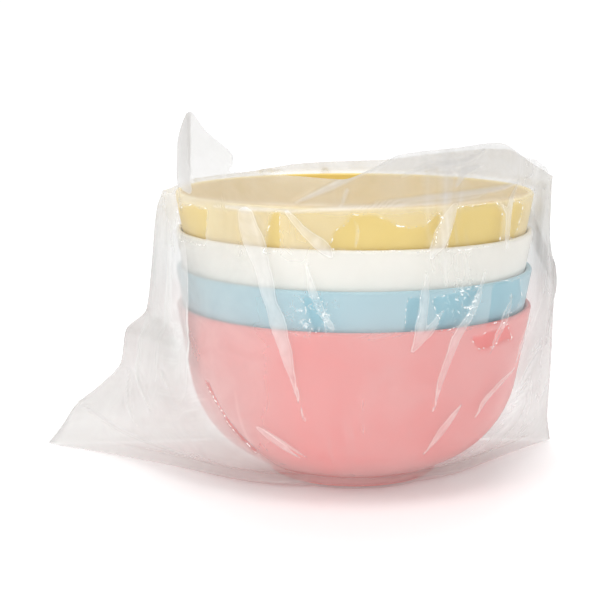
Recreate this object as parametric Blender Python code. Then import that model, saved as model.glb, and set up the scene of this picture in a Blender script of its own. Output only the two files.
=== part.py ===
"""A nested set of four round mixing bowls for hair colour, standing in an open clear film bag.

Metres, +Z up. The origin is on the surface that the set stands on, under the axis of the bowls.
The front of the set is -Y. Each bowl's origin is on that axis, at the bottom of its foot.
"""

import math

import bmesh
import bpy

# The bowl: one moulding, made in four colours.
RIM_RADIUS = 0.075
BOWL_HEIGHT = 0.072
WALL = 0.0025
DRAFT = math.radians(10.3)      # lean of the straight upper wall
BELLY_RADIUS = 0.045            # outer arc between the straight wall and the base
FOOT_RADIUS = 0.036
FOOT_HEIGHT = 0.003             # from the table up to the underside of the base
FOOT_WIDTH = 0.003              # land of the foot ring
FOOT_EASE = 0.0005              # chamfer on both edges of that land
NEST_GAP = 0.0003               # clearance between the walls of two nested bowls

# The bag: one tube of clear film, sealed along its bottom and open at the top.
FILM = 0.0006                   # thicker than real film, so that it is a sound solid
SEAT_GAP = 0.0003               # clearance under the foot of the lowest bowl
FILM_GAP = 0.001                # clearance between the film and the bowls
# Each side fold, from the floor up: height, slack beyond the rim radius, set-back behind the axis.
LEFT_FOLD = (
    (0.000, 0.0640, 0.026),
    (0.010, 0.0560, 0.023),
    (0.020, 0.0490, 0.020),
    (0.030, 0.0370, 0.018),
    (0.041, 0.0270, 0.016),
    (0.056, 0.0238, 0.013),
    (0.066, 0.0140, 0.010),
    (0.080, 0.0118, 0.008),
    (0.110, 0.0085, 0.006),
    (0.122, 0.0040, 0.004),
)
RIGHT_FOLD = (
    (0.000, 0.0160, 0.041),
    (0.016, 0.0136, 0.036),
    (0.075, 0.0133, 0.023),
    (0.100, 0.0092, 0.016),
    (0.122, 0.0080, 0.009),
)
# How far the loose film swells beside each fold at the floor, and the height where the swelling ends.
LEFT_SWELL = (0.009, 0.09)
RIGHT_SWELL = (0.005, 0.06)
# Where the film hangs slack in front of the left fold: azimuth, stand-off, half width.
SLACK = (math.radians(222), 0.0024, math.radians(34))
SLACK_FOOT = 0.010              # height over which that stand-off grows from the floor
# The cut edge of the mouth: azimuth in degrees, height above the top rim. A flap stands at 219 degrees.
MOUTH_EDGE = (
    (135, 0.0020),
    (205, 0.0030),
    (209, 0.0180),
    (219, 0.0340),
    (230, 0.0200),
    (233, 0.0125),
    (267, 0.0115),
    (283, 0.0205),
    (314, 0.0245),
    (340, 0.0155),
    (362, 0.0090),
    (390, 0.0140),
    (440, 0.0060),
    (495, 0.0020),
)
FLOOR_HEM = 0.003               # width of the band where the floor of the bag turns up
FLAT_REACH = 0.05               # how far the floor of the bag lies flat, from the axis of the bowls
FLAT_SHARE = 0.9                # where the floor is narrower than that, its flat share
EAR_LIFT = 0.0015               # how far the tip of the left ear stands off the table

# Colours, as the material shows under white light.
PINK = (0.80, 0.31, 0.30)
BLUE = (0.37, 0.60, 0.69)
WHITE = (0.90, 0.88, 0.82)
YELLOW = (0.82, 0.63, 0.21)
CLEAR = (0.93, 0.93, 0.92)

# Facets.
TURN_STEPS = 48
BELLY_STEPS = 6
RIM_STEPS = 4
FRONT_COLUMNS = 40
BACK_COLUMNS = 32
WALL_ROWS = 13
MOUTH_ROWS = 3

# What follows from the sizes above.
BELLY_HEIGHT = FOOT_HEIGHT + BELLY_RADIUS
BELLY_CENTRE = RIM_RADIUS - (BELLY_RADIUS + (BOWL_HEIGHT - BELLY_HEIGHT) * math.sin(DRAFT)) / math.cos(DRAFT)
NEST_PITCH = (WALL + NEST_GAP) / math.sin(DRAFT)
LOWEST_SEAT = FILM + SEAT_GAP
LOWEST_RIM = LOWEST_SEAT + BOWL_HEIGHT
TOP_RIM = LOWEST_RIM + 3 * NEST_PITCH


def clear_scene():
    for old in list(bpy.data.objects):
        bpy.data.objects.remove(old, do_unlink=True)


def make_material(name, colour, roughness, alpha=1.0):
    material = bpy.data.materials.new(name)
    material.use_nodes = True
    shader = material.node_tree.nodes["Principled BSDF"]
    shader.inputs["Base Color"].default_value = (*colour, 1.0)
    shader.inputs["Roughness"].default_value = roughness
    shader.inputs["Metallic"].default_value = 0.0
    shader.inputs["Alpha"].default_value = alpha
    return material


def arc(centre, radius, start, end, steps):
    """Points from one angle to the other, both included, as (radius from the axis, height)."""
    angles = [start + (end - start) * step / steps for step in range(steps + 1)]
    return [(centre[0] + radius * math.cos(a), centre[1] + radius * math.sin(a)) for a in angles]


def underside(radius):
    """Height of the bowl's underside at a radius inside the belly's arc."""
    reach = max(0.0, radius - BELLY_CENTRE)
    return BELLY_HEIGHT - math.sqrt(BELLY_RADIUS**2 - reach**2)


def bowl_profile():
    """The section of one bowl: up its inside from the axis, over the rim and down to the foot."""
    belly = (BELLY_CENTRE, BELLY_HEIGHT)
    straight_down = -math.pi / 2
    inside = arc(belly, BELLY_RADIUS - WALL, straight_down, -DRAFT, BELLY_STEPS)
    rim_radius = WALL / 2
    rim_centre = RIM_RADIUS - rim_radius * (1 + math.sin(DRAFT)) / math.cos(DRAFT)
    rim = arc((rim_centre, BOWL_HEIGHT - rim_radius), rim_radius, math.pi - DRAFT, -DRAFT, RIM_STEPS)
    foot_top = -math.acos(max(0.0, FOOT_RADIUS - BELLY_CENTRE) / BELLY_RADIUS)
    outside = arc(belly, BELLY_RADIUS, -DRAFT, foot_top, BELLY_STEPS)
    foot_inside = FOOT_RADIUS - FOOT_WIDTH
    foot = [
        (FOOT_RADIUS, underside(FOOT_RADIUS)),
        (FOOT_RADIUS, FOOT_EASE),
        (FOOT_RADIUS - FOOT_EASE, 0.0),
        (foot_inside + FOOT_EASE, 0.0),
        (foot_inside, FOOT_EASE),
        (foot_inside, underside(foot_inside)),
    ]
    if foot_inside > BELLY_CENTRE:
        foot.append((BELLY_CENTRE, FOOT_HEIGHT))
    if BELLY_CENTRE < FOOT_RADIUS:
        outside.pop()
    return [(0.0, FOOT_HEIGHT + WALL), *inside, *rim, *outside, *foot, (0.0, FOOT_HEIGHT)]


def make_bowl(name, colour, height, carrier):
    """One bowl turned about its own Z axis, standing at a height above what carries it."""
    mesh = bpy.data.meshes.new(name)
    points = [(radius, 0.0, z) for radius, z in bowl_profile()]
    edges = [(i, i + 1) for i in range(len(points) - 1)]
    mesh.from_pydata(points, edges, [])
    bowl = bpy.data.objects.new(name, mesh)
    bpy.context.scene.collection.objects.link(bowl)
    turn = bowl.modifiers.new("Turn", "SCREW")
    turn.axis = "Z"
    turn.steps = TURN_STEPS
    turn.render_steps = TURN_STEPS
    turn.use_smooth_shade = True
    turn.use_merge_vertices = True
    turn.merge_threshold = 0.00001
    mesh.materials.append(make_material(name + "_plastic", colour, 0.35))
    bowl.parent = carrier
    bowl.location = (0.0, 0.0, height)
    return bowl


def bowl_radius(height):
    """Outer radius of a bowl at a height above its foot."""
    if height <= underside(FOOT_RADIUS):
        return FOOT_RADIUS
    if height < BELLY_HEIGHT - BELLY_RADIUS * math.sin(DRAFT):
        return BELLY_CENTRE + math.sqrt(BELLY_RADIUS**2 - (BELLY_HEIGHT - height) ** 2)
    return RIM_RADIUS - max(0.0, BOWL_HEIGHT - height) * math.tan(DRAFT)


def eased(share):
    """A smooth step from 0 to 1."""
    share = min(1.0, max(0.0, share))
    return share * share * (3 - 2 * share)


def row_at(table, place):
    """The values of a table at a place in its first column, eased between its rows."""
    if place >= table[-1][0]:
        return table[-1][1:]
    upper = next(i for i in range(1, len(table)) if place < table[i][0])
    below = table[upper - 1]
    above = table[upper]
    share = (place - below[0]) / (above[0] - below[0])
    gentle = (share + eased(share)) / 2
    return [low + (high - low) * gentle for low, high in zip(below[1:], above[1:])]


def fold_places(height):
    """Azimuth and distance from the axis of the left fold and of the right fold."""
    places = []
    for fold, side in ((LEFT_FOLD, -1), (RIGHT_FOLD, 1)):
        slack, set_back = row_at(fold, height)
        x = side * (RIM_RADIUS + slack)
        places.append((math.atan2(set_back, x), math.hypot(x, set_back)))
    return places


def film_radius(azimuth, height):
    """The film lies round the bowls and swells out from them to the two side folds."""
    snug = bowl_radius(height - LOWEST_SEAT) + FILM_GAP
    radius = snug
    for (fold_azimuth, reach), (swell, swell_top) in zip(fold_places(height), (LEFT_SWELL, RIGHT_SWELL)):
        turn = abs(math.remainder(azimuth - fold_azimuth, math.tau))
        touch = math.acos(min(1.0, snug / reach))
        if turn < touch:
            swelling = swell * (1 - eased(height / swell_top)) * math.sin(math.pi * turn / touch)
            radius = max(radius, snug / math.cos(touch - turn) + swelling)
    slack_azimuth, stand_off, half_width = SLACK
    away = abs(math.remainder(azimuth - slack_azimuth, math.tau))
    return radius + stand_off * eased(1 - away / half_width) * eased(height / SLACK_FOOT)


def column_azimuths(height):
    """Azimuths round the bag at a height, with one column on each side fold."""
    (left, _), (right, _) = fold_places(height)
    front = right + math.tau - left
    back = left - right
    azimuths = [left + front * i / FRONT_COLUMNS for i in range(FRONT_COLUMNS)]
    return azimuths + [right + back * i / BACK_COLUMNS for i in range(BACK_COLUMNS)]


def mouth_height(azimuth):
    """Height of the open edge of the film at an azimuth."""
    degrees = math.degrees(azimuth) % 360
    if degrees < MOUTH_EDGE[0][0]:
        degrees += 360
    return TOP_RIM + row_at(MOUTH_EDGE, degrees)[0]


def bag_ring(shape, heights):
    """A ring of vertices, one for each column, at the heights given for the columns."""
    ring = []
    for azimuth, height in zip(column_azimuths(min(heights)), heights):
        radius = film_radius(azimuth, height)
        ring.append(shape.verts.new((radius * math.cos(azimuth), radius * math.sin(azimuth), height)))
    return ring


def lower_edge_heights():
    """Heights of the bag's lower edge, which stands off the table towards the tip of the left ear."""
    tip = fold_places(FILM)[0][1]
    heights = []
    for azimuth in column_azimuths(FILM):
        beyond_flat = (film_radius(azimuth, FILM) - FLAT_REACH) / (tip - FLAT_REACH)
        heights.append(FILM + EAR_LIFT * eased(beyond_flat))
    return heights


def hem_ring(shape, edge):
    """The ring inside the bag's lower edge, where its wall has turned in to the floor."""
    ring = []
    for vertex in edge:
        reach = vertex.co.xy.length
        inward = vertex.co.xy * (1 - FLOOR_HEM / reach)
        ring.append(shape.verts.new((inward.x, inward.y, vertex.co.z)))
    return ring


def flat_ring(shape, hem):
    """The ring round the part of the floor that lies flat on the table."""
    ring = []
    for vertex in hem:
        reach = vertex.co.xy.length
        inward = vertex.co.xy * min(FLAT_SHARE, FLAT_REACH / reach)
        ring.append(shape.verts.new((inward.x, inward.y, FILM)))
    return ring


def make_bag():
    """The film's inner face, lofted from the floor to the mouth, thickened outwards."""
    columns = FRONT_COLUMNS + BACK_COLUMNS
    shape = bmesh.new()
    climb = (TOP_RIM - FILM) / WALL_ROWS
    rings = [bag_ring(shape, lower_edge_heights())]
    for row in range(1, WALL_ROWS + 1):
        rings.append(bag_ring(shape, [FILM + climb * row] * columns))
    edge_heights = [mouth_height(azimuth) for azimuth in column_azimuths(TOP_RIM)]
    for row in range(1, MOUTH_ROWS + 1):
        share = row / MOUTH_ROWS
        rings.append(bag_ring(shape, [TOP_RIM + (edge - TOP_RIM) * share for edge in edge_heights]))
    hem = hem_ring(shape, rings[0])
    flat = flat_ring(shape, hem)
    for lower, upper in zip([flat, hem, *rings], [hem, *rings]):
        for i in range(columns):
            after = (i + 1) % columns
            shape.faces.new((lower[i], lower[after], upper[after], upper[i]))
    shape.faces.new(list(reversed(flat)))
    mesh = bpy.data.meshes.new("clear_bag")
    shape.to_mesh(mesh)
    shape.free()
    mesh.shade_smooth()
    bag = bpy.data.objects.new("clear_bag", mesh)
    bpy.context.scene.collection.objects.link(bag)
    wall = bag.modifiers.new("Film", "SOLIDIFY")
    wall.thickness = FILM
    wall.offset = 1.0
    wall.use_even_offset = True
    mesh.materials.append(make_material("clear_film", CLEAR, 0.2, 0.3))
    return bag


clear_scene()
clear_bag = make_bag()
pink_bowl = make_bowl("pink_bowl", PINK, LOWEST_SEAT, clear_bag)
blue_bowl = make_bowl("blue_bowl", BLUE, NEST_PITCH, pink_bowl)
white_bowl = make_bowl("white_bowl", WHITE, NEST_PITCH, blue_bowl)
yellow_bowl = make_bowl("yellow_bowl", YELLOW, NEST_PITCH, white_bowl)
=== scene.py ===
"""Looks of a nested set of four hair colour bowls in a clear film bag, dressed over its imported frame.

Metres, +Z up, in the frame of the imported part. The front of the set is -Y.
"""

import math

import bpy
import numpy as np
from mathutils import Matrix, Vector


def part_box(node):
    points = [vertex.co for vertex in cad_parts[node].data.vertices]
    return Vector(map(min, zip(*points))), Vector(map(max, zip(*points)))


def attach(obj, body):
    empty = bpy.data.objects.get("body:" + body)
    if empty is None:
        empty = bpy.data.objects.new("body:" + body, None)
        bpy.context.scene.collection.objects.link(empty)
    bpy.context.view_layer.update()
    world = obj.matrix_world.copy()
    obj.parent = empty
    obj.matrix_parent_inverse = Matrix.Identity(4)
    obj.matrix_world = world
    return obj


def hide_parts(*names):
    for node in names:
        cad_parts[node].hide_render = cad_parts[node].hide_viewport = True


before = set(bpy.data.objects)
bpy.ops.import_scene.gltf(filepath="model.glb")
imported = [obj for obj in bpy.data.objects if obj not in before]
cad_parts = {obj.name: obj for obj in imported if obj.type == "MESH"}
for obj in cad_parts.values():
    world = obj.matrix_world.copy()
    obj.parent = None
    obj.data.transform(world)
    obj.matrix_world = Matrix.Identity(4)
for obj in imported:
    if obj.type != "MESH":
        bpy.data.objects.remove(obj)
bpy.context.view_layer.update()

# The four bowls
# Injection moulded in polypropylene from one tool, each batch in its own colour, with a satin skin.
# They nest loosely: each hangs in the next on its leaning wall, and only the lowest stands on its foot.
WALL = 0.0025
DRAFT = math.radians(10.3)
BELLY_RADIUS = 0.045
FOOT_RADIUS = 0.036
FOOT_HEIGHT = 0.003
FOOT_WIDTH = 0.003
FOOT_EASE = 0.0008
RIM_RADIUS = 0.075
BOWL_LOW, BOWL_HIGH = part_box("pink_bowl")
BOWL_SEAT = BOWL_LOW.z
BOWL_HEIGHT = BOWL_HIGH.z - BOWL_LOW.z
TOP_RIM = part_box("yellow_bowl")[1].z
BELLY_HEIGHT = FOOT_HEIGHT + BELLY_RADIUS
BELLY_CENTRE = RIM_RADIUS - (BELLY_RADIUS + (BOWL_HEIGHT - BELLY_HEIGHT) * math.sin(DRAFT)) / math.cos(DRAFT)
BOWL_STEPS = 160
INSIDE_STEPS = 28
RIM_STEPS = 12
OUTSIDE_STEPS = 24
FOOT_STEPS = 4
SAME_POINT = 1e-6
SMOOTH_ANGLE = math.radians(35)
GRAIN_SHARE = 0.4
DEEP_SHADE = 0.9
BOWL_COLOURS = {
    "pink": (0.83, 0.21, 0.20),
    "blue": (0.29, 0.54, 0.63),
    "white": (0.88, 0.86, 0.79),
    "yellow": (0.81, 0.61, 0.17),
}


def arc(centre, radius, start, end, steps):
    """Points of a profile along an arc about (centre radius, centre height)."""
    angles = [start + (end - start) * i / steps for i in range(steps + 1)]
    return [(centre[0] + radius * math.cos(a), centre[1] + radius * math.sin(a)) for a in angles]


def bowl_profile():
    """The section of a bowl: up the inside, over the round rim, down the outside and under the base."""
    belly = (BELLY_CENTRE, BELLY_HEIGHT)
    half_wall = WALL / 2
    rim_inset = half_wall * (1 + math.sin(DRAFT)) / math.cos(DRAFT)
    rim_centre = (RIM_RADIUS - rim_inset, BOWL_HEIGHT - half_wall)
    foot_turn = -math.acos((FOOT_RADIUS - BELLY_CENTRE) / BELLY_RADIUS)
    inner_foot = FOOT_RADIUS - FOOT_WIDTH
    inner_turn = -math.acos((inner_foot - BELLY_CENTRE) / BELLY_RADIUS)
    inside = arc(belly, BELLY_RADIUS - WALL, -math.pi / 2, -DRAFT, INSIDE_STEPS)
    rim = arc(rim_centre, half_wall, math.pi - DRAFT, -DRAFT, RIM_STEPS)
    outside = arc(belly, BELLY_RADIUS, -DRAFT, foot_turn, OUTSIDE_STEPS)
    foot = arc((FOOT_RADIUS - FOOT_EASE, FOOT_EASE), FOOT_EASE, 0, -math.pi / 2, FOOT_STEPS)
    foot += arc((inner_foot + FOOT_EASE, FOOT_EASE), FOOT_EASE, -math.pi / 2, -math.pi, FOOT_STEPS)
    base = arc(belly, BELLY_RADIUS, inner_turn, -math.pi / 2, FOOT_STEPS)
    return inside + rim + outside + foot + base


def moulded_round(name, profile, base, steps):
    """A closed round piece, drawn out ring by ring along its profile."""
    bpy.ops.object.select_all(action="DESELECT")
    first_radius, first_height = profile[0]
    first_place = (0, 0, base + first_height)
    bpy.ops.mesh.primitive_circle_add(vertices=steps, radius=first_radius, location=first_place)
    piece = bpy.context.object
    piece.name = name
    bpy.ops.object.transform_apply(location=True, rotation=True, scale=True)
    bpy.ops.object.mode_set(mode="EDIT")
    bpy.ops.mesh.select_all(action="SELECT")
    for (radius, height), (next_radius, next_height) in zip(profile, profile[1:]):
        bpy.ops.mesh.extrude_region_move(TRANSFORM_OT_translate={"value": (0, 0, next_height - height)})
        growth = next_radius / radius
        bpy.ops.transform.resize(value=(growth, growth, 1), center_override=(0, 0, 0))
    bpy.ops.mesh.select_all(action="SELECT")
    bpy.ops.mesh.remove_doubles(threshold=SAME_POINT)
    bpy.ops.mesh.fill_holes(sides=0)
    bpy.ops.mesh.select_all(action="SELECT")
    bpy.ops.mesh.normals_make_consistent(inside=False)
    bpy.ops.object.mode_set(mode="OBJECT")
    bpy.ops.object.shade_smooth_by_angle(angle=SMOOTH_ANGLE)
    return piece


def node(tree, kind, x, y, **settings):
    """A new node at a place in the tree, with the values of its sockets and settings."""
    made = tree.nodes.new(kind)
    made.location = (x, y)
    for key, value in settings.items():
        if key in made.inputs:
            made.inputs[key].default_value = value
        else:
            setattr(made, key, value)
    return made


def moulded_skin_group():
    """Satin moulded plastic: cloudy pigment, fine specks, a faint grain and patches of higher gloss."""
    tree = bpy.data.node_groups.new("moulded_skin", "ShaderNodeTree")
    face = tree.interface
    face.new_socket("Colour", in_out="INPUT", socket_type="NodeSocketColor")
    face.new_socket("Deep Colour", in_out="INPUT", socket_type="NodeSocketColor")
    face.new_socket("Colour", in_out="OUTPUT", socket_type="NodeSocketColor")
    face.new_socket("Roughness", in_out="OUTPUT", socket_type="NodeSocketFloat")
    face.new_socket("Height", in_out="OUTPUT", socket_type="NodeSocketFloat")
    given = node(tree, "NodeGroupInput", -900, 0)
    result = node(tree, "NodeGroupOutput", 500, 0)
    place = node(tree, "ShaderNodeTexCoord", -900, -300)
    clouds = node(tree, "ShaderNodeTexNoise", -600, 0, Scale=28.0, Detail=4.0, Roughness=0.6)
    specks = node(tree, "ShaderNodeTexNoise", -600, -250, Scale=900.0, Detail=2.0)
    grain = node(tree, "ShaderNodeTexNoise", -600, -500, Scale=2600.0, Detail=2.0)
    flow = node(tree, "ShaderNodeTexNoise", -600, -750, Scale=70.0, Detail=3.0, Distortion=0.6)
    for texture in (clouds, specks, grain, flow):
        tree.links.new(place.outputs["Object"], texture.inputs["Vector"])
    cloud_range = {"From Min": 0.35, "From Max": 0.7, "To Max": 0.45}
    speck_range = {"From Min": 0.6, "From Max": 0.75, "To Max": 0.3}
    gloss_range = {"To Min": 0.26, "To Max": 0.42}
    cloud_share = node(tree, "ShaderNodeMapRange", -350, 0, **cloud_range)
    speck_share = node(tree, "ShaderNodeMapRange", -350, -250, **speck_range)
    share = node(tree, "ShaderNodeMath", -120, -100, operation="ADD", use_clamp=True)
    tint = node(tree, "ShaderNodeMix", 120, 100, data_type="RGBA")
    gloss = node(tree, "ShaderNodeMapRange", 120, -500, **gloss_range)
    relief = node(tree, "ShaderNodeMath", 120, -250, operation="MULTIPLY_ADD")
    relief.inputs[1].default_value = GRAIN_SHARE
    tree.links.new(clouds.outputs["Fac"], cloud_share.inputs["Value"])
    tree.links.new(specks.outputs["Fac"], speck_share.inputs["Value"])
    tree.links.new(cloud_share.outputs["Result"], share.inputs[0])
    tree.links.new(speck_share.outputs["Result"], share.inputs[1])
    tree.links.new(share.outputs["Value"], tint.inputs["Factor"])
    tree.links.new(given.outputs["Colour"], tint.inputs["A"])
    tree.links.new(given.outputs["Deep Colour"], tint.inputs["B"])
    tree.links.new(flow.outputs["Fac"], gloss.inputs["Value"])
    tree.links.new(grain.outputs["Fac"], relief.inputs[0])
    tree.links.new(specks.outputs["Fac"], relief.inputs[2])
    tree.links.new(tint.outputs["Result"], result.inputs["Colour"])
    tree.links.new(gloss.outputs["Result"], result.inputs["Roughness"])
    tree.links.new(relief.outputs["Value"], result.inputs["Height"])
    return tree


def bowl_plastic(name, colour):
    """The material of one batch of bowls: its colour in the shared moulded skin."""
    material = bpy.data.materials.new(name + "_plastic")
    material.use_nodes = True
    tree = material.node_tree
    shader = tree.nodes["Principled BSDF"]
    skin = node(tree, "ShaderNodeGroup", -500, 0, node_tree=MOULDED_SKIN)
    skin.inputs["Colour"].default_value = (*colour, 1)
    skin.inputs["Deep Colour"].default_value = (*(DEEP_SHADE * c for c in colour), 1)
    bump = node(tree, "ShaderNodeBump", -250, -250, Strength=0.12, Distance=0.0002)
    tree.links.new(skin.outputs["Colour"], shader.inputs["Base Color"])
    tree.links.new(skin.outputs["Roughness"], shader.inputs["Roughness"])
    tree.links.new(skin.outputs["Height"], bump.inputs["Height"])
    tree.links.new(bump.outputs["Normal"], shader.inputs["Normal"])
    shader.inputs["IOR"].default_value = 1.49
    shader.inputs["Subsurface Weight"].default_value = 0.06
    shader.inputs["Subsurface Radius"].default_value = (0.004, 0.003, 0.003)
    return material


MOULDED_SKIN = moulded_skin_group()
first_bowl = moulded_round("pink_moulding", bowl_profile(), BOWL_SEAT, BOWL_STEPS)
bowls = {"pink": first_bowl}
for batch in ("blue", "white", "yellow"):
    bowl = first_bowl.copy()
    bowl.data = first_bowl.data.copy()
    bowl.name = batch + "_moulding"
    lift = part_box(batch + "_bowl")[0].z - BOWL_SEAT
    bowl.data.transform(Matrix.Translation((0, 0, lift)))
    bpy.context.scene.collection.objects.link(bowl)
    bowls[batch] = bowl
for batch, bowl in bowls.items():
    bowl.data.materials.clear()
    bowl.data.materials.append(bowl_plastic(batch, BOWL_COLOURS[batch]))
    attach(bowl, batch)
    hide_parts(batch + "_bowl")

# The film bag
# One tube of thin clear polythene, heat sealed along its bottom and left open at the top.
# The bowls are dropped in, so the film clings to them, gathers in pleats and stands out in two loose ears.
FILM_GAP = 0.0012
FLOOR_LIFT = 0.0004
CLING_GAP = 0.0004
COLUMNS = 220
FLOOR_ROWS = 8
WALL_ROWS = 84
FINE_ROWS = 160
LEAST_TURN = 1e-6
LEAST_STEP = 1e-5
# The waves that the slack film starts with: how deep they are and how far out their middle lies,
# then from where to where each wave's count to a turn, lean and spread are drawn.
CRUMPLE_SEED = 4
CRUMPLE_WAVES = 60
CRUMPLE_DEPTH = 0.0012
CRUMPLE_MIDDLE = 0.6
CRUMPLE_COUNTS = (6, 40)
CRUMPLE_LEANS = (-6, 6)
CRUMPLE_SPREADS = (0.15, 0.5)
CRUMPLE_START_ROWS = 6
# The drape: its length, the film's slack, how firmly the columns beside each side fold and the rows at
# the mouth are held, where the film is pressed to the bowls, and the form that stops it.
DRAPE_FRAMES = 30
SLACK_ROUND = 1.04
SLACK_TALL = 1.01
FOLD_HOLD_COLUMNS = 12
FOLD_TOP_HOLD = 0.6
MOUTH_HOLD_ROWS = 4
MOUTH_HOLD = 0.4
EDGE_HOLD = 0.9
PRESS_GAP = 0.0015
PRESS_REACH = 0.006
PRESS_LOW = 0.004
FORM_LOW = -0.02
FORM_HIGH = TOP_RIM + 0.06
FORM_TIP = 0.001
FORM_ROWS = 60
FORM_STEPS = 96
STOP_SKIN = 0.0006
STOP_DEPTH = 0.002
RIPPLE_PASSES = 3
CALM_HEIGHT = 0.05
# In hundredths of all points: those below the first count as flat, those past the second as fully creased.
CREASE_RANGE = (75, 99)
# Each side fold, from the floor up: height, slack beyond the rim radius, set-back behind the axis.
LEFT_FOLD = (
    (0.000, 0.0640, 0.026),
    (0.010, 0.0560, 0.023),
    (0.020, 0.0490, 0.020),
    (0.030, 0.0370, 0.018),
    (0.041, 0.0270, 0.016),
    (0.056, 0.0238, 0.013),
    (0.066, 0.0140, 0.010),
    (0.080, 0.0118, 0.008),
    (0.110, 0.0085, 0.006),
    (0.122, 0.0040, 0.004),
)
RIGHT_FOLD = (
    (0.000, 0.0160, 0.041),
    (0.016, 0.0136, 0.036),
    (0.075, 0.0133, 0.023),
    (0.100, 0.0092, 0.016),
    (0.122, 0.0080, 0.009),
)
# How far the loose front of each ear swells at the floor, and the height where the swelling ends.
LEFT_SWELL = (0.009, 0.09)
RIGHT_SWELL = (0.005, 0.06)
# The mouth's cut edge: azimuth in degrees, height above the top rim. The flap stands at 218 degrees.
MOUTH_EDGE = (
    (135, 0.0015),
    (160, 0.0010),
    (178, -0.0015),
    (195, 0.0000),
    (205, 0.0040),
    (208, 0.0100),
    (209, 0.0180),
    (213, 0.0270),
    (219, 0.0345),
    (225, 0.0275),
    (230, 0.0205),
    (232, 0.0130),
    (250, 0.0125),
    (267, 0.0115),
    (275, 0.0155),
    (283, 0.0205),
    (300, 0.0225),
    (314, 0.0235),
    (328, 0.0170),
    (340, 0.0145),
    (350, 0.0110),
    (362, 0.0040),
    (390, 0.0140),
    (420, 0.0100),
    (440, 0.0062),
    (470, 0.0045),
    (487, 0.0020),
    (495, 0.0015),
)
# Flat pleats, each a strip that narrows to a point: azimuth in degrees, height, half width.
PLEATS = (
    ((239.0, 0.1162, 0.0034), (240.7, 0.1085, 0.0040), (242.2, 0.1037, 0.0037), (244.7, 0.0940, 0.0030),
     (246.4, 0.0846, 0.0024), (248.5, 0.0772, 0.0030), (250.7, 0.0632, 0.0019), (252.9, 0.0504, 0.0010),
     (254.9, 0.0374, 0.0002)),
    ((251.6, 0.1185, 0.0010), (256.5, 0.1114, 0.0013), (261.8, 0.1057, 0.0018), (264.0, 0.1026, 0.0003)),
    ((257.0, 0.0990, 0.0002), (258.7, 0.0894, 0.0012), (261.3, 0.0812, 0.0014), (264.6, 0.0748, 0.0003)),
    ((299.2, 0.1202, 0.0012), (296.6, 0.1136, 0.0029), (294.6, 0.1085, 0.0032), (292.7, 0.1041, 0.0014),
     (292.0, 0.1015, 0.0003)),
    ((290.6, 0.0960, 0.0003), (290.4, 0.0874, 0.0016), (289.3, 0.0743, 0.0016), (287.2, 0.0660, 0.0002)),
    ((296.5, 0.0809, 0.0003), (292.4, 0.0744, 0.0013), (288.2, 0.0673, 0.0002)),
    ((310.5, 0.0940, 0.0003), (306.9, 0.0808, 0.0010), (303.8, 0.0754, 0.0013), (300.9, 0.0699, 0.0017),
     (299.0, 0.0621, 0.0017), (297.4, 0.0542, 0.0012), (295.9, 0.0408, 0.0002)),
    ((324.0, 0.0830, 0.0003), (321.0, 0.0756, 0.0020), (314.8, 0.0601, 0.0002)),
    ((339.2, 0.0694, 0.0012), (336.1, 0.0609, 0.0018), (333.3, 0.0528, 0.0003)),
    ((334.2, 0.0508, 0.0002), (324.4, 0.0465, 0.0010), (317.2, 0.0411, 0.0015), (314.0, 0.0345, 0.0003)),
    ((306.4, 0.0420, 0.0003), (300.8, 0.0314, 0.0019), (297.1, 0.0211, 0.0002)),
    ((238.0, 0.0320, 0.0003), (245.0, 0.0250, 0.0012), (252.0, 0.0180, 0.0002)),
    ((323.6, 0.1260, 0.0004), (321.6, 0.1200, 0.0014), (320.5, 0.1150, 0.0018), (320.2, 0.1060, 0.0012),
     (320.0, 0.1020, 0.0003)),
    ((316.0, 0.1205, 0.0003), (320.5, 0.1150, 0.0012), (320.5, 0.1120, 0.0003)),
    ((21.0, 0.1200, 0.0024), (15.0, 0.0860, 0.0030), (12.0, 0.0660, 0.0016), (10.0, 0.0500, 0.0002)),
    ((62.0, 0.1200, 0.0036), (66.0, 0.0980, 0.0042), (71.0, 0.0720, 0.0024), (78.0, 0.0380, 0.0002)),
    ((100.0, 0.1200, 0.0018), (93.0, 0.1000, 0.0026), (88.0, 0.0800, 0.0016), (84.0, 0.0560, 0.0002)),
    ((122.0, 0.1200, 0.0034), (128.0, 0.0960, 0.0038), (134.0, 0.0680, 0.0022), (138.0, 0.0350, 0.0002)),
    ((155.0, 0.1200, 0.0018), (150.0, 0.0920, 0.0022), (146.0, 0.0600, 0.0002)),
)
PLEAT_PROUD = 0.0009
PLEAT_BLEND = 0.0024
PLEAT_FREE = 0.001
# The left side is gathered in several layers, with a straight edge down the front of the bowls, and so is
# the left half of the flap.
GUSSETS = (
    ((194.5, 0.0960, 0.0230), (194.5, 0.0910, 0.0265), (193.5, 0.0790, 0.0275), (190.5, 0.0615, 0.0265),
     (187.5, 0.0469, 0.0265), (188.0, 0.0400, 0.0170), (189.0, 0.0330, 0.0080), (190.0, 0.0290, 0.0003)),
    ((216.5, 0.1250, 0.0030), (213.5, 0.1320, 0.0072), (214.0, 0.1420, 0.0072), (218.5, 0.1560, 0.0010)),
)
GUSSET_BLEND = 0.004
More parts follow.
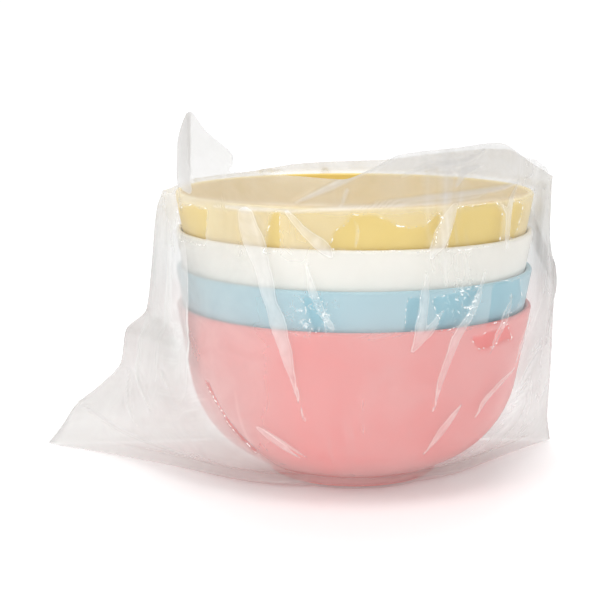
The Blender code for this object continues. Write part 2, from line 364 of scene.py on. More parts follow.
# Fine folds, set down as the pleats are.
FOLDS = (
    ((175.0, 0.0655, 0.0006), (181.5, 0.0590, 0.0010), (180.0, 0.0410, 0.0010), (184.0, 0.0358, 0.0010),
     (191.5, 0.0280, 0.0003)),
    ((190.0, 0.0950, 0.0003), (190.5, 0.0740, 0.0010), (190.5, 0.0400, 0.0004)),
    ((193.5, 0.0445, 0.0010), (198.0, 0.0390, 0.0003)),
    ((176.0, 0.0390, 0.0004), (183.5, 0.0245, 0.0009), (186.0, 0.0190, 0.0003)),
    ((170.0, 0.0230, 0.0003), (184.0, 0.0120, 0.0011), (200.0, 0.0090, 0.0003)),
    ((215.0, 0.0912, 0.0003), (214.5, 0.0790, 0.0008), (211.0, 0.0615, 0.0008), (208.0, 0.0469, 0.0004)),
    ((228.0, 0.1188, 0.0003), (231.8, 0.1191, 0.0006), (242.6, 0.1190, 0.0008), (251.9, 0.1189, 0.0007),
     (267.6, 0.1203, 0.0007), (283.0, 0.1213, 0.0006), (298.1, 0.1225, 0.0007), (308.0, 0.1233, 0.0003)),
    ((254.0, 0.1220, 0.0004), (264.0, 0.1284, 0.0012), (275.0, 0.1361, 0.0014), (281.0, 0.1400, 0.0006)),
    ((266.8, 0.1215, 0.0004), (268.1, 0.1270, 0.0008)),
    ((283.0, 0.1320, 0.0003), (292.0, 0.1358, 0.0012), (302.0, 0.1372, 0.0012), (309.0, 0.1410, 0.0006)),
    ((299.0, 0.1280, 0.0008), (301.5, 0.1330, 0.0016), (308.0, 0.1350, 0.0004)),
    ((276.0, 0.1225, 0.0003), (295.0, 0.1242, 0.0012), (317.0, 0.1258, 0.0010), (324.5, 0.1275, 0.0003)),
    ((270.5, 0.1155, 0.0003), (271.2, 0.1114, 0.0006), (270.6, 0.1060, 0.0003)),
    ((217.5, 0.1540, 0.0004), (218.5, 0.1480, 0.0010), (218.5, 0.1380, 0.0008), (219.5, 0.1300, 0.0003)),
    ((240.0, 0.0317, 0.0003), (246.2, 0.0264, 0.0007), (253.0, 0.0199, 0.0003)),
)
FOLD_PROUD = 0.0005
FOLD_BLEND = 0.0012
STRIP_STEPS = 4
# Patches where the film clings to a bowl, each by its corners: azimuth in degrees, height.
CLINGS = (
    ((205.0, 0.1160), (218.0, 0.1178), (224.2, 0.1171), (223.6, 0.1035), (207.5, 0.1030)),
    ((246.7, 0.1176), (248.6, 0.1178), (249.2, 0.1035), (244.8, 0.1035)),
    ((262.0, 0.1045), (265.0, 0.1114), (267.0, 0.1136), (269.5, 0.1185), (276.0, 0.1177), (283.0, 0.1128),
     (290.3, 0.1132), (295.0, 0.1182), (292.0, 0.1035)),
    ((300.0, 0.1195), (315.5, 0.1205), (318.4, 0.1150), (317.8, 0.1035), (296.7, 0.1035)),
    ((324.0, 0.1205), (331.0, 0.1174), (325.2, 0.1050), (322.0, 0.1060)),
    ((255.5, 0.0866), (261.2, 0.0869), (262.4, 0.0735), (259.0, 0.0735)),
    ((285.6, 0.0862), (289.5, 0.0862), (287.8, 0.0742), (284.5, 0.0738)),
    ((293.2, 0.0859), (305.0, 0.0880), (309.5, 0.0880), (300.6, 0.0735), (295.0, 0.0735)),
    ((314.6, 0.0885), (330.0, 0.0885), (332.0, 0.0800), (321.5, 0.0730), (313.0, 0.0730)),
    ((306.5, 0.0691), (323.6, 0.0708), (328.0, 0.0645), (310.6, 0.0631)),
    ((218.0, 0.0468), (219.2, 0.0472), (227.2, 0.0300), (232.6, 0.0195), (231.4, 0.0182), (226.2, 0.0285)),
    ((14.0, 0.1180), (44.0, 0.1190), (40.0, 0.1030), (22.0, 0.1035)),
    ((64.0, 0.1185), (84.0, 0.1170), (88.0, 0.1035), (66.0, 0.1030)),
    ((100.0, 0.1180), (118.0, 0.1150), (124.0, 0.1035), (106.0, 0.1030)),
    ((34.0, 0.0870), (52.0, 0.0860), (58.0, 0.0735), (40.0, 0.0740)),
    ((92.0, 0.0865), (104.0, 0.0870), (98.0, 0.0735), (82.0, 0.0740)),
)
# How far a clinging patch is drawn in at most, and the soft bend in which the film leaves the bowls.
CLING_PULL = 0.0012
CLING_BLEND = 0.003
CONTACT_EASE = 0.0003
# Two spots where the pleated film glitters with painted glints: azimuth in degrees, height.
GLINTS = ((259.0, 0.0800), (303.5, 0.0830))
GLINT_SPREAD = 0.006
# Wrinkles start above the floor, and the flare and the haze of the mouth above the top rim.
WRINKLE_START = 0.004
WRINKLE_BLEND = 0.006
FLARE_START = 0.001
FLARE_BLEND = 0.009
RIM_BLEND = 0.003
FLOOR_BLEND = 0.003
# The flap's corner bellies to the right, from near its middle to its far edge.
FLAP_AZIMUTH = math.radians(218)
FLAP_CORNER = 0.0185
FLAP_CORNER_SPREAD = 0.0065
FLAP_BELLY = math.radians(5)
FLAP_NEAR = 0.1
FLAP_NEAR_TURN = 0.16
FLAP_FAR = 0.28
FLAP_FAR_TURN = 0.2
MOUTH_FLARE = 0.0011
MOUTH_WAVES = (5, 8, 13, 21)
WAVE_PHASE = 1.7
MOUTH_HAZE = 0.010
FOOT_HAZE = 0.004
FOOT_HAZE_HEIGHT = 0.022
# The bright bend over the top rim, a painted highlight, comes and goes with the waves of the mouth.
RIM_BEND = 0.4
RIM_BEND_CHANGE = 0.35
RIM_BEND_SPREAD = 0.0018
SLACK_AZIMUTH = math.radians(222)
SLACK_SPREAD = math.radians(34)
SLACK_STAND = 0.0024
# The film lies in two layers at the mouth and along the right side, about this azimuth and half width, and
# there it takes a painted shade.
RIGHT_SIDE = math.radians(2)
RIGHT_SPREAD = math.radians(34)
RIGHT_LOW = 0.02
RIGHT_BLEND = 0.04
# How much painted shade darkens the mouth and the gathers, with the right side as 1. The gathers fade in
# over GATHER_LOW above that height, fade out as far above GATHER_HIGH, and end round the back.
MOUTH_SHADE = 0.5
GATHER_SHADE = 0.4
GATHER_LOW = 0.03
GATHER_HIGH = 0.085
GATHER_BACK = math.radians(155)
GATHER_TURN = math.radians(38)


def smooth_through(x, points, column):
    """Values at x of a smooth curve through one column of a table, with no overshoot between its rows."""
    table = np.array(points, float)
    xs, ys = table[:, 0], table[:, column]
    step = np.diff(xs)
    slope = np.diff(ys) / step
    total = np.where(slope[:-1] + slope[1:] == 0, 1, slope[:-1] + slope[1:])
    middle = np.where(slope[:-1] * slope[1:] > 0, 2 * slope[:-1] * slope[1:] / total, 0)
    tangent = np.concatenate([slope[:1], middle, slope[-1:]])
    x = np.clip(x, xs[0], xs[-1])
    i = np.clip(np.searchsorted(xs, x, side="right") - 1, 0, len(step) - 1)
    t = (x - xs[i]) / step[i]
    start = ys[i] * (1 + 2 * t) * (1 - t) ** 2 + tangent[i] * step[i] * t * (1 - t) ** 2
    end = ys[i + 1] * t * t * (3 - 2 * t) + tangent[i + 1] * step[i] * t * t * (t - 1)
    return start + end


def turn_between(a, b):
    """The angle from b to a, between minus and plus half a turn."""
    return (a - b + math.pi) % (2 * math.pi) - math.pi


def ease(value):
    """A smooth step from 0 to 1."""
    t = np.clip(value, 0, 1)
    return t * t * (3 - 2 * t)


def ease_in(depth, blend):
    """A smooth step from 0 to 1 over the edge of a strip or a patch, half way at the edge itself."""
    return ease(depth / blend + 0.5)


def stack_girth(height):
    """Outer radius of the stack, and above the lowest rim the room that a bowl needs to be lifted out."""
    up = np.asarray(height, float) - BOWL_SEAT
    arc_top = BELLY_HEIGHT - BELLY_RADIUS * math.sin(DRAFT)
    belly = BELLY_CENTRE + np.sqrt(np.maximum(BELLY_RADIUS**2 - (BELLY_HEIGHT - up) ** 2, 0))
    wall = RIM_RADIUS - np.maximum(BOWL_HEIGHT - up, 0) * math.tan(DRAFT)
    return np.where(up < arc_top, np.maximum(np.where(up > FOOT_HEIGHT, belly, 0), FOOT_RADIUS), wall)


def side_fold(height, table, side):
    """Azimuth and radius of a side fold at a height."""
    x = side * (RIM_RADIUS + smooth_through(height, table, 1))
    y = smooth_through(height, table, 2)
    return np.arctan2(y, x), np.hypot(x, y)


def film_girth(azimuth, height):
    """Radius of the slack film: snug round the stack, and drawn out to its two side folds."""
    snug = stack_girth(height) + FILM_GAP
    girth = snug
    for table, side, (swell, swell_top) in ((LEFT_FOLD, -1, LEFT_SWELL), (RIGHT_FOLD, 1, RIGHT_SWELL)):
        fold, reach = side_fold(height, table, side)
        turn = np.abs(turn_between(azimuth, fold))
        touch = np.arccos(np.minimum(1, snug / reach))
        flat = snug / np.cos(np.maximum(touch - turn, 0))
        fading = 1 - ease(height / swell_top)
        out_share = np.clip(turn / np.maximum(touch, LEAST_TURN), 0, 1)
        flat = flat + swell * fading * np.sin(math.pi * out_share)
        girth = np.where(turn < touch, np.maximum(girth, flat), girth)
    return girth


def mouth_height(azimuth):
    """Height of the cut edge of the mouth."""
    degrees = np.degrees(azimuth) % 360
    degrees = np.where(degrees < MOUTH_EDGE[0][0], degrees + 360, degrees)
    return TOP_RIM + smooth_through(degrees, MOUTH_EDGE, 1)


def film_grid():
    """Rows of points on the slack film, from the seal under the bowls over the floor and up to the mouth."""
    half = COLUMNS // 2
    share = np.concatenate([np.arange(half), np.arange(half)]) / half
    front = np.arange(COLUMNS) < half

    def azimuths(height):
        left = side_fold(height, LEFT_FOLD, -1)[0]
        right = side_fold(height, RIGHT_FOLD, 1)[0]
        return np.where(front, left + share * (right + 2 * math.pi - left), right + share * (left - right))

    top = mouth_height(azimuths(np.full(COLUMNS, TOP_RIM)))
    heights = FLOOR_LIFT + np.linspace(0, 1, FINE_ROWS)[:, None] * (top - FLOOR_LIFT)
    angles = np.stack([azimuths(row) for row in heights])
    radii = film_girth(angles, heights)
    fine = np.stack([radii * np.cos(angles), radii * np.sin(angles), heights], -1)
    steps = np.linalg.norm(np.diff(fine, axis=0), axis=-1)
    lengths = np.concatenate([np.zeros((1, COLUMNS)), np.cumsum(steps, 0)])
    wall = np.zeros((WALL_ROWS + 1, COLUMNS, 3))
    for column in range(COLUMNS):
        wanted = np.linspace(0, lengths[-1, column], WALL_ROWS + 1)
        for axis in range(3):
            wall[:, column, axis] = np.interp(wanted, lengths[:, column], fine[:, column, axis])
    opposite = (COLUMNS - np.arange(COLUMNS)) % COLUMNS
    seal = (wall[0] + wall[0][opposite]) / 2
    floor = np.stack([seal + (wall[0] - seal) * row / FLOOR_ROWS for row in range(FLOOR_ROWS)])
    return np.concatenate([floor, wall])


def sheet_mesh(name, grid):
    """A mesh of quads over a grid of points that closes on itself sideways."""
    rows, columns = grid.shape[:2]
    faces = []
    for row in range(rows - 1):
        for column in range(columns):
            beside = (column + 1) % columns
            here, above = row * columns, (row + 1) * columns
            faces.append((here + column, here + beside, above + beside, above + column))
    mesh = bpy.data.meshes.new(name)
    mesh.from_pydata(grid.reshape(-1, 3).tolist(), [], faces)
    return mesh


def crumple(grid):
    """The grid with shallow waves that lean to and fro, for the drape to buckle along."""
    rows, columns = grid.shape[:2]
    draw = np.random.default_rng(CRUMPLE_SEED)
    round_share = np.arange(columns) / columns * 2 * math.pi
    up_share = np.linspace(0, 1, rows)[:, None]
    waves = np.zeros((rows, columns))
    for _ in range(CRUMPLE_WAVES):
        count = draw.integers(*CRUMPLE_COUNTS)
        phase, lean = draw.uniform(0, 2 * math.pi), draw.uniform(*CRUMPLE_LEANS)
        middle, spread = draw.uniform(0, 1), draw.uniform(*CRUMPLE_SPREADS)
        swelling = np.exp(-(((up_share - middle) / spread) ** 2)) / math.sqrt(count)
        waves += swelling * np.sin(count * round_share + phase + lean * up_share)
    waves = CRUMPLE_DEPTH * (waves / np.abs(waves).max() + CRUMPLE_MIDDLE)
    waves *= ease(np.arange(rows)[:, None] / CRUMPLE_START_ROWS)
    azimuth = np.arctan2(grid[..., 1], grid[..., 0])
    return grid + waves[..., None] * np.stack([np.cos(azimuth), np.sin(azimuth), 0 * azimuth], -1)


def weight_group(piece, name, weights):
    """A vertex group with these weights, in the order of the vertices."""
    group = piece.vertex_groups.new(name=name)
    for index, weight in enumerate(weights.reshape(-1)):
        if weight > 0:
            group.add([index], float(weight), "REPLACE")


def drape(grid):
    """The wall's grid after the slack film has settled round the stack, by a cloth simulation."""
    rows, columns = grid.shape[:2]
    film = bpy.data.objects.new("slack_film", sheet_mesh("slack_film", crumple(grid)))
    bpy.context.scene.collection.objects.link(film)
    film.shape_key_add(name="Basis")
    cut = film.shape_key_add(name="cut")
    cut_size = grid * (SLACK_ROUND, SLACK_ROUND, SLACK_TALL)
    cut.data.foreach_set("co", cut_size.astype(np.float32).reshape(-1))
    cut.value = 0
    holds = np.zeros((rows, columns))
    for fold in (0, columns // 2):
        for beside in range(FOLD_HOLD_COLUMNS):
            weight = (1 - beside / FOLD_HOLD_COLUMNS) ** 2
            for column in (fold + beside, fold - beside):
                holds[:, column % columns] = weight * np.linspace(1, FOLD_TOP_HOLD, rows)
    holds[-MOUTH_HOLD_ROWS:-1] = np.maximum(holds[-MOUTH_HOLD_ROWS:-1], MOUTH_HOLD)
    holds[-1] = np.maximum(holds[-1], EDGE_HOLD)
    holds[0] = 1
    weight_group(film, "held", holds)
    radius, height = np.hypot(grid[..., 0], grid[..., 1]), grid[..., 2]
    near = np.clip(1 - (radius - stack_girth(height) - PRESS_GAP) / PRESS_REACH, 0, 1)
    weight_group(film, "pressed", near * (height > PRESS_LOW))
    heights = np.linspace(FORM_LOW, FORM_HIGH, FORM_ROWS)
    outline = [(FORM_TIP, FORM_LOW)] + [(float(stack_girth(h)), float(h)) for h in heights]
    form = moulded_round("stack_form", outline, 0, FORM_STEPS)
    form.modifiers.new("stop", "COLLISION")
    form.collision.thickness_outer = STOP_SKIN
    form.collision.thickness_inner = STOP_DEPTH
    form.collision.cloth_friction = 5
    cloth = film.modifiers.new("drape", "CLOTH")
    settings = cloth.settings
    settings.quality = 6
    settings.mass = 0.15
    settings.air_damping = 2
    settings.tension_stiffness = 30
    settings.compression_stiffness = 30
    settings.shear_stiffness = 15
    settings.bending_model = "ANGULAR"
    settings.bending_stiffness = 3
    settings.tension_damping = 8
    settings.compression_damping = 8
    settings.shear_damping = 8
    settings.vertex_group_mass = "held"
    settings.rest_shape_key = cut
    settings.use_pressure = True
    settings.uniform_pressure_force = -0.3
    settings.vertex_group_pressure = "pressed"
    settings.effector_weights.gravity = 0.05
    cloth.collision_settings.distance_min = STOP_SKIN
    cloth.collision_settings.collision_quality = 3
    cloth.point_cache.frame_end = DRAPE_FRAMES
    for moment in range(1, DRAPE_FRAMES + 1):
        bpy.context.scene.frame_set(moment)
    settled = film.evaluated_get(bpy.context.evaluated_depsgraph_get())
    places = np.zeros(rows * columns * 3, np.float32)
    settled.data.vertices.foreach_get("co", places)
    bpy.context.scene.frame_set(1)
    for helper in (film, form):
        bpy.data.objects.remove(helper)
    return places.reshape(rows, columns, 3).astype(float)


def finer(grid):
    """The grid with a new point between each two, on a smooth curve through its neighbours."""
    before, after = np.roll(grid, 1, 1), np.roll(grid, -1, 1)
    beyond = np.roll(grid, -2, 1)
    rows, columns = grid.shape[:2]
    wide = np.zeros((rows, columns * 2, 3))
    wide[:, 0::2] = grid
    wide[:, 1::2] = (9 * (grid + after) - before - beyond) / 16
    tall = np.zeros((rows * 2 - 1, columns * 2, 3))
    tall[0::2] = wide
    tall[1::2] = (wide[:-1] + wide[1:]) / 2
    tall[3:-3:2] = (9 * (wide[1:-2] + wide[2:-1]) - wide[:-3] - wide[3:]) / 16
    return tall


def from_line(azimuth, height, start, end):
    """Distance on the film from the line between two places, and the share of the line passed."""
    across = turn_between(azimuth, math.radians(start[0])) * RIM_RADIUS
    along = turn_between(math.radians(end[0]), math.radians(start[0])) * RIM_RADIUS
    climb = end[1] - start[1]
    passed = np.clip((across * along + (height - start[1]) * climb) / (along**2 + climb**2), 0, 1)
    return np.hypot(across - passed * along, height - start[1] - passed * climb), passed


def inside_strips(azimuth, height, strips):
    """Depth in metres inside the nearest of these strips, or minus the distance to it."""
    depth = np.full(azimuth.shape, -1.0)
    for strip in strips:
        places = [(number, *place) for number, place in enumerate(strip)]
        steps = np.linspace(0, len(strip) - 1, STRIP_STEPS * (len(strip) - 1) + 1)
        curve = np.stack([smooth_through(steps, places, column) for column in (1, 2, 3)], -1)
        for start, end in zip(curve, curve[1:]):
            distance, passed = from_line(azimuth, height, start, end)
            depth = np.maximum(depth, start[2] + (end[2] - start[2]) * passed - distance)
    return depth


def inside_patches(azimuth, height, patches):
    """Depth in metres inside the nearest of these patches, or minus the distance to it."""
    depth = np.full(azimuth.shape, -1.0)
    for corners in patches:
        distance = np.full(azimuth.shape, 1.0)
        inside = np.zeros(azimuth.shape, bool)
        from_first = np.degrees(turn_between(azimuth, math.radians(corners[0][0]))) + corners[0][0]
        for start, end in zip(corners, corners[1:] + corners[:1]):
            distance = np.minimum(distance, from_line(azimuth, height, start, end)[0])
            if start[1] != end[1]:
                share = (height - start[1]) / (end[1] - start[1])
                crossing = start[0] + (end[0] - start[0]) * share
                inside ^= (share >= 0) & (share < 1) & (from_first < crossing)
        depth = np.maximum(depth, np.where(inside, distance, -distance))
    return depth


def calmed(drift, height):
    """How far the drape moved each point, without its finest ripples and with less of it by the floor."""
    for _ in range(RIPPLE_PASSES):
        drift = (np.roll(drift, 1, 1) + 2 * drift + np.roll(drift, -1, 1)) / 4
        drift[1:-1] = (drift[:-2] + 2 * drift[1:-1] + drift[2:]) / 4
    return drift * ease(height / CALM_HEIGHT)[..., None]


def creasing(grid, before):
    """How sharply the drape has bent the film at each point, from 0 to 1."""
    drift = grid - before
    bend = np.roll(drift, 1, 1) + np.roll(drift, -1, 1) - 2 * drift
    side_step = np.maximum(np.linalg.norm(np.roll(grid, -1, 1) - grid, axis=-1), LEAST_STEP)
    across = np.linalg.norm(bend, axis=-1) / side_step**2
    rise = np.zeros(grid.shape)
    rise[1:-1] = drift[2:] + drift[:-2] - 2 * drift[1:-1]
    step = np.full(grid.shape[:2], 1.0)
    step[1:-1] = np.maximum(np.linalg.norm(grid[2:] - grid[1:-1], axis=-1), LEAST_STEP)
    along = np.linalg.norm(rise, axis=-1) / step**2
    sharp = np.maximum(across, along)
    low, high = np.percentile(sharp, CREASE_RANGE)
    return np.clip((sharp - low) / max(high - low, 1e-9), 0, 1)


film_points = film_grid()
slack_points = finer(film_points)
wall_points = film_points[FLOOR_ROWS:]
moved = calmed(drape(wall_points) - wall_points, wall_points[..., 2])
film_points[FLOOR_ROWS:] = wall_points + moved
film_points = finer(film_points)
creases = creasing(film_points, slack_points)
azimuth = np.arctan2(film_points[..., 1], film_points[..., 0])
radius = np.hypot(film_points[..., 0], film_points[..., 1])
height = np.maximum(film_points[..., 2], FLOOR_LIFT)

# The flap bellies out to a leaf, the mouth stands in loose waves and the film hangs slack by the left ear.
off_floor = ease((height - WRINKLE_START) / WRINKLE_BLEND)
over_rim = ease((height - TOP_RIM - FLARE_START) / FLARE_BLEND)
from_flap = turn_between(azimuth, FLAP_AZIMUTH)
leaf = np.exp(-(((height - TOP_RIM - FLAP_CORNER) / FLAP_CORNER_SPREAD) ** 2))
leaf = leaf * ease(from_flap / FLAP_NEAR_TURN + FLAP_NEAR)
azimuth = azimuth + FLAP_BELLY * leaf * (1 - ease((from_flap - FLAP_FAR) / FLAP_FAR_TURN))
waves = sum(np.sin(count * azimuth + WAVE_PHASE * count) for count in MOUTH_WAVES) / len(MOUTH_WAVES)
radius = radius + over_rim * MOUTH_FLARE * (1 + waves)
beside_ear = ease(1 - np.abs(turn_between(azimuth, SLACK_AZIMUTH)) / SLACK_SPREAD)
radius = radius + off_floor * SLACK_STAND * beside_ear

# Pleats and folds stand proud, and clinging patches are drawn in to the bowls.
pleat_depth = inside_strips(azimuth, height, PLEATS)
fold_depth = inside_strips(azimuth, height, FOLDS)
gusset_depth = inside_strips(azimuth, height, GUSSETS)
cling_depth = inside_patches(azimuth, height, CLINGS)
snug_radius = stack_girth(height) + CLING_GAP
clinging = ease_in(cling_depth, CLING_BLEND) * (1 - ease_in(pleat_depth, PLEAT_FREE))
radius = radius - np.clip(radius - snug_radius, 0, CLING_PULL) * clinging * off_floor
radius = radius + PLEAT_PROUD * ease_in(pleat_depth, PLEAT_BLEND) * off_floor
radius = radius + FOLD_PROUD * ease_in(fold_depth, FOLD_BLEND) * off_floor
clear_radius = snug_radius + CONTACT_EASE * np.logaddexp(0, (radius - snug_radius) / CONTACT_EASE)
radius = np.where(height > BOWL_SEAT, clear_radius, radius)
film_points = np.stack([radius * np.cos(azimuth), radius * np.sin(azimuth), height], -1)

# What the film's material reads: how far it stands off, how sharply it is bent (with a painted highlight
# along the rim), where it lies double and takes a painted shade, and where painted glints go.
past_rim = ease((height - TOP_RIM) / RIM_BLEND)
stand_off = radius - stack_girth(height)
stand_off = stand_off + (MOUTH_HAZE - stand_off) * past_rim
stand_off = stand_off + FOOT_HAZE * (1 - ease(height / FOOT_HAZE_HEIGHT))
stand_off = stand_off * ease((height - FLOOR_LIFT) / FLOOR_BLEND)
# Painted highlight: a bright band along the bend over the top rim, carried in the crease reading.
rim_bend_highlight = np.exp(-(((height - TOP_RIM) / RIM_BEND_SPREAD) ** 2)) * (RIM_BEND + RIM_BEND_CHANGE * waves)
creases = np.clip(creases + rim_bend_highlight, 0, 1)
beside_right = ease(1 - np.abs(turn_between(azimuth, RIGHT_SIDE)) / RIGHT_SPREAD)
# Painted shade: where the film lies double, at the mouth, along the right side and in the gathers, its
# colour is darkened.
doubled_shade = np.maximum(MOUTH_SHADE * past_rim, beside_right * ease((height - RIGHT_LOW) / RIGHT_BLEND))
gathered = ease((height - GATHER_LOW) / GATHER_LOW) * (1 - ease((height - GATHER_HIGH) / GATHER_LOW))
gathered = gathered * ease(turn_between(azimuth, GATHER_BACK) / GATHER_TURN)
gathered = np.where(height > TOP_RIM, 1.0, gathered)
doubled_shade = np.maximum(doubled_shade, GATHER_SHADE * gathered * ease_in(gusset_depth, GUSSET_BLEND))
glints = np.zeros(height.shape)
for glint_azimuth, glint_height in GLINTS:
    aside = turn_between(azimuth, math.radians(glint_azimuth)) * RIM_RADIUS / GLINT_SPREAD
    above = (height - glint_height) / GLINT_SPREAD
    glints = glints + np.exp(-(aside**2) - above**2)

bpy.ops.object.select_all(action="DESELECT")
film = bpy.data.objects.new("film_bag", sheet_mesh("film_bag", film_points))
bpy.context.scene.collection.objects.link(film)
readings = {
    "pleat": pleat_depth,
    "fold": fold_depth,
    "gusset": gusset_depth,
    "gathered": gathered,
    "cling": cling_depth,
    "crease": creases,
    "slack": stand_off,
    "doubled_shade": doubled_shade,
    "glint": glints,
}
for name, values in readings.items():
    attribute = film.data.attributes.new(name, "FLOAT", "POINT")
    attribute.data.foreach_set("value", values.astype(np.float32).reshape(-1))
bpy.context.view_layer.objects.active = film
film.select_set(True)
bpy.ops.object.mode_set(mode="EDIT")
bpy.ops.mesh.select_all(action="SELECT")
bpy.ops.mesh.remove_doubles(threshold=LEAST_STEP)
bpy.ops.mesh.normals_make_consistent(inside=False)
bpy.ops.object.mode_set(mode="OBJECT")
bpy.ops.object.shade_smooth()


def clear_film():
    """Thin polythene: clear where it clings, milky where it stands off, darker with painted shade where it
    stands far off and where it lies double, and whiter along pleats and creases, partly from the stronger
    scatter of creased film and partly by painted highlights, with painted glints glowing along its clinging
    edges.
    """
    material = bpy.data.materials.new("clear_film")
    material.use_nodes = True
    tree = material.node_tree
    shader = tree.nodes["Principled BSDF"]
    place = node(tree, "ShaderNodeTexCoord", -2000, -400)

    def noise(scale, detail, y, **settings):
        made = node(tree, "ShaderNodeTexNoise", -1750, y, Scale=scale, Detail=detail, **settings)
        tree.links.new(place.outputs["Object"], made.inputs["Vector"])
        return made.outputs["Fac"]

    def reading(name, y):
        return node(tree, "ShaderNodeAttribute", -1750, y, attribute_name=name).outputs["Fac"]

    def ramp(value, low, high, start, end, x, y):
        made = node(tree, "ShaderNodeMapRange", x, y)
        made.inputs["From Min"].default_value = low
        made.inputs["From Max"].default_value = high
        made.inputs["To Min"].default_value = start
        made.inputs["To Max"].default_value = end
        tree.links.new(value, made.inputs["Value"])
        return made.outputs["Result"]

    def both(a, b, x, y, operation="ADD"):
        made = node(tree, "ShaderNodeMath", x, y, operation=operation)
        tree.links.new(a, made.inputs[0])
        tree.links.new(b, made.inputs[1])
        return made.outputs["Value"]

    def edge_of(depth, half, x, y):
        """A thin line where a signed depth is near zero."""
        rise = ramp(depth, -half, 0, 0, 1, x, y)
        fall = ramp(depth, 0, half, 1, 0, x, y - 250)
        return both(rise, fall, x + 200, y, "MINIMUM")

    ragged = ramp(noise(150.0, 3.0, 900), 0.25, 0.75, -0.0010, 0.0010, -1500, 900)
    wavy = ramp(noise(90.0, 2.0, 600), 0.25, 0.75, -0.0007, 0.0007, -1500, 600)
    cling = both(reading("cling", 1200), ragged, -1250, 1000)
    pleat = both(reading("pleat", 300), wavy, -1250, 500)
    gusset = both(reading("gusset", 150), wavy, -1250, 350)
    slack = reading("slack", 0)
    near = ramp(slack, 0.0006, 0.006, 0.16, 0.49, -1250, 100)
    cloudy = ramp(noise(38.0, 3.0, -300, Distortion=0.8), 0.3, 0.7, 0.85, 1.15, -1250, -200)
    veil = both(near, cloudy, -1000, 0, "MULTIPLY")
    touching = ramp(cling, -0.0008, 0.0008, 1, 0.42, -1000, 1000)
    body = both(veil, touching, -750, 500, "MULTIPLY")
    streaky = ramp(noise(75.0, 3.0, 450, Distortion=1.5), 0.3, 0.7, 0.5, 1.3, -1250, 700)
    layers = ramp(pleat, -0.0002, 0.0006, 0, 0.18, -1000, 500)
    layers = both(layers, streaky, -750, 700, "MULTIPLY")
    body = both(body, layers, -500, 500)
    gathers = ramp(gusset, -0.0001, 0.0003, 0, 0.36, -1000, 250)
    gathers = both(gathers, reading("gathered", 1800), -750, 250, "MULTIPLY")
    body = both(body, gathers, -400, 400)
    creased = ramp(reading("fold", -150), -0.0004, 0.0004, 0, 0.22, -1000, -250)
    body = both(body, creased, -300, 300)
    speckle = ramp(noise(700.0, 1.0, -600), 0.53, 0.64, 0.03, 1, -1500, -600)
    cling_line = both(edge_of(cling, 0.0003, -1000, -500), speckle, -500, -500, "MULTIPLY")
    pleat_line = both(edge_of(pleat, 0.0003, -1000, -1000), cloudy, -500, -1000, "MULTIPLY")
    crinkled = ramp(noise(240.0, 2.0, -1400, Distortion=0.6), 0.3, 0.7, -1, 1, -1500, -1400)
    crinkles = edge_of(crinkled, 0.3, -1250, -1400)
    broken = ramp(noise(520.0, 1.0, -2600), 0.46, 0.56, 0, 1, -1500, -2600)
    glitter = both(crinkles, broken, -900, -1400, "MULTIPLY")
    glitter = both(glitter, reading("glint", -1700), -700, -1500, "MULTIPLY")
    # Sparks are painted glints: dotted bright marks along the clinging edges and crinkled ones in the two
    # glitter spots, made nearly opaque and glowing.
    sparks = both(cling_line, glitter, -250, -600, "MAXIMUM")
    # Bends: pleat edges and creases are made whiter, partly as creased film scatters more light and partly
    # as a painted highlight.
    bends = both(pleat_line, reading("crease", -2000), -250, -900)
    lines = both(sparks, bends, 50, -800, "MAXIMUM")
    alpha = both(body, ramp(bends, 0, 1.2, 0, 0.3, 50, -300), 250, 300)
    alpha = both(alpha, ramp(sparks, 0, 1, 0, 0.75, 50, -550), 400, 300)
    tree.links.new(alpha, shader.inputs["Alpha"])
    tree.links.new(ramp(lines, 0, 1, 0.26, 0.1, 200, -600), shader.inputs["Roughness"])
    bump = node(tree, "ShaderNodeBump", 200, -900, Strength=0.3, Distance=0.0008)
    tree.links.new(noise(110.0, 3.0, -2300, Distortion=1.2), bump.inputs["Height"])
    tree.links.new(bump.outputs["Normal"], shader.inputs["Normal"])
    # Painted shade: the film's colour darkens from near white where it lies close to the bowls to a dull
    # greyish tone where it stands far off.
    tint = node(tree, "ShaderNodeMix", 400, 600, data_type="RGBA")
    tint.inputs["A"].default_value = (0.93, 0.925, 0.91, 1)
    tint.inputs["B"].default_value = (0.69, 0.675, 0.655, 1)
    tree.links.new(ramp(slack, 0.002, 0.009, 0, 1, 200, 600), tint.inputs["Factor"])
    # Painted shade: a darker colour where the film lies double.
    painted_shade = node(tree, "ShaderNodeMix", 500, 600, data_type="RGBA")
    painted_shade.inputs["B"].default_value = (0.53, 0.515, 0.495, 1)
    tree.links.new(tint.outputs["Result"], painted_shade.inputs["A"])
    tree.links.new(reading("doubled_shade", 1500), painted_shade.inputs["Factor"])
    tree.links.new(painted_shade.outputs["Result"], shader.inputs["Base Color"])
    # Painted glints: the sparks glow with their own near white light.
    glint_glow = node(tree, "ShaderNodeMix", 400, 900, data_type="RGBA")
    glint_glow.inputs["A"].default_value = (0, 0, 0, 1)
    glint_glow.inputs["B"].default_value = (1, 0.98, 0.94, 1)
    tree.links.new(ramp(sparks, 0.1, 0.8, 0, 1, 200, 900), glint_glow.inputs["Factor"])
    tree.links.new(glint_glow.outputs["Result"], shader.inputs["Emission Color"])
    shader.inputs["Emission Strength"].default_value = 0.35
    shader.inputs["IOR"].default_value = 1.7
    shader.location = (650, 300)
    return material


film.data.materials.append(clear_film())
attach(film, "bag")
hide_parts("clear_bag")

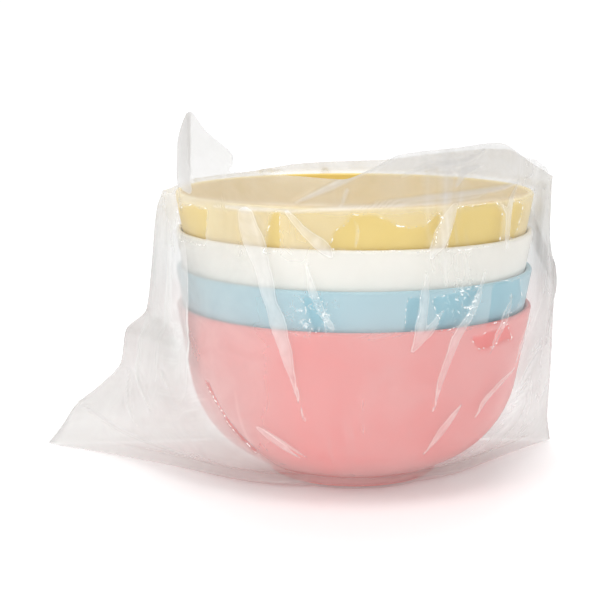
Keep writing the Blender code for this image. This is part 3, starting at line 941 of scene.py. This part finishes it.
# The studio
# A sweep of pale paper that turns up behind the set, lit by five soft boxes and a white surround.
# The camera stands a little above the rim of the top bowl and looks down at the set.
SWEEP_HALF = 3.0
SWEEP_BACK = 1.6
SWEEP_HEIGHT = 2.5
SWEEP_ROUND = 0.7
SWEEP_STEPS = 24
SWEEP_NEAR = 0.01
PAPER_LOOKS = {
    "Base Color": (0.93, 0.93, 0.93, 1),
    "Roughness": 0.7,
    "Specular IOR Level": 0.2,
    "Emission Color": (1, 1, 1, 1),
    "Emission Strength": 0.15,
}
SURROUND_LOOKS = {"Color": (1, 1, 1, 1), "Strength": 0.6}
CAMERA_PLACE = (0, -0.6, 0.1796)
CAMERA_TILT = math.radians(90 - 10.14)
CAMERA_TURN = math.radians(2.16)
CAMERA_LENS = 85.8
CAMERA_SENSOR = 36
AIM = Vector((0, 0, 0.06))
# Each soft box: its place, its width and its power in watts.
SOFT_BOXES = (
    ("key_light", (-0.9, -0.9, 1.2), 0.7, 3.5),
    ("fill_light", (1.1, -0.5, 0.9), 0.6, 1.2),
    ("back_light", (0.0, 0.6, 1.4), 0.9, 7.0),
    ("top_light", (0.0, -0.45, 1.35), 0.5, 4.6),
    ("front_light", (-0.6, -1.0, 0.15), 0.4, 1.7),
)
bpy.ops.object.select_all(action="DESELECT")
bpy.ops.mesh.primitive_plane_add(size=2 * SWEEP_HALF, location=(0, SWEEP_BACK - SWEEP_HALF, 0))
sweep = bpy.context.object
sweep.name = "studio_sweep"
bpy.ops.object.transform_apply(location=True, rotation=True, scale=True)
bpy.ops.object.mode_set(mode="EDIT")
bpy.ops.mesh.select_all(action="DESELECT")
bpy.ops.object.mode_set(mode="OBJECT")
for edge in sweep.data.edges:
    edge.select = all(sweep.data.vertices[v].co.y > SWEEP_BACK - SWEEP_NEAR for v in edge.vertices)
bpy.ops.object.mode_set(mode="EDIT")
bpy.ops.mesh.select_mode(type="EDGE")
bpy.ops.mesh.extrude_region_move(TRANSFORM_OT_translate={"value": (0, 0, SWEEP_HEIGHT)})
bpy.ops.mesh.select_mode(type="VERT")
bpy.ops.object.mode_set(mode="OBJECT")
for edge in sweep.data.edges:
    ends = [sweep.data.vertices[v].co for v in edge.vertices]
    edge.select = all(end.y > SWEEP_BACK - SWEEP_NEAR and end.z < SWEEP_NEAR for end in ends)
for vertex in sweep.data.vertices:
    vertex.select = vertex.co.y > SWEEP_BACK - SWEEP_NEAR and vertex.co.z < SWEEP_NEAR
bpy.ops.object.mode_set(mode="EDIT")
bpy.ops.mesh.bevel(offset=SWEEP_ROUND, segments=SWEEP_STEPS)
bpy.ops.object.mode_set(mode="OBJECT")
bpy.ops.object.shade_smooth()
paper = bpy.data.materials.new("pale_paper")
paper.use_nodes = True
for socket, value in PAPER_LOOKS.items():
    paper.node_tree.nodes["Principled BSDF"].inputs[socket].default_value = value
sweep.data.materials.append(paper)
for name, place, size, power in SOFT_BOXES:
    lamp = bpy.data.lights.new(name, "AREA")
    lamp.size = size
    lamp.energy = power
    holder = bpy.data.objects.new(name, lamp)
    holder.location = place
    holder.rotation_euler = (AIM - Vector(place)).to_track_quat("-Z", "Y").to_euler()
    bpy.context.scene.collection.objects.link(holder)
world = bpy.data.worlds.new("studio_light")
world.use_nodes = True
for socket, value in SURROUND_LOOKS.items():
    world.node_tree.nodes["Background"].inputs[socket].default_value = value
bpy.context.scene.world = world
lens = bpy.data.cameras.new("photo_camera")
lens.lens = CAMERA_LENS
lens.sensor_width = CAMERA_SENSOR
camera = bpy.data.objects.new("photo_camera", lens)
camera.location = CAMERA_PLACE
camera.rotation_euler = (CAMERA_TILT, 0, CAMERA_TURN)
bpy.context.scene.collection.objects.link(camera)
bpy.context.scene.camera = camera
bpy.context.scene.view_settings.view_transform = "Standard"
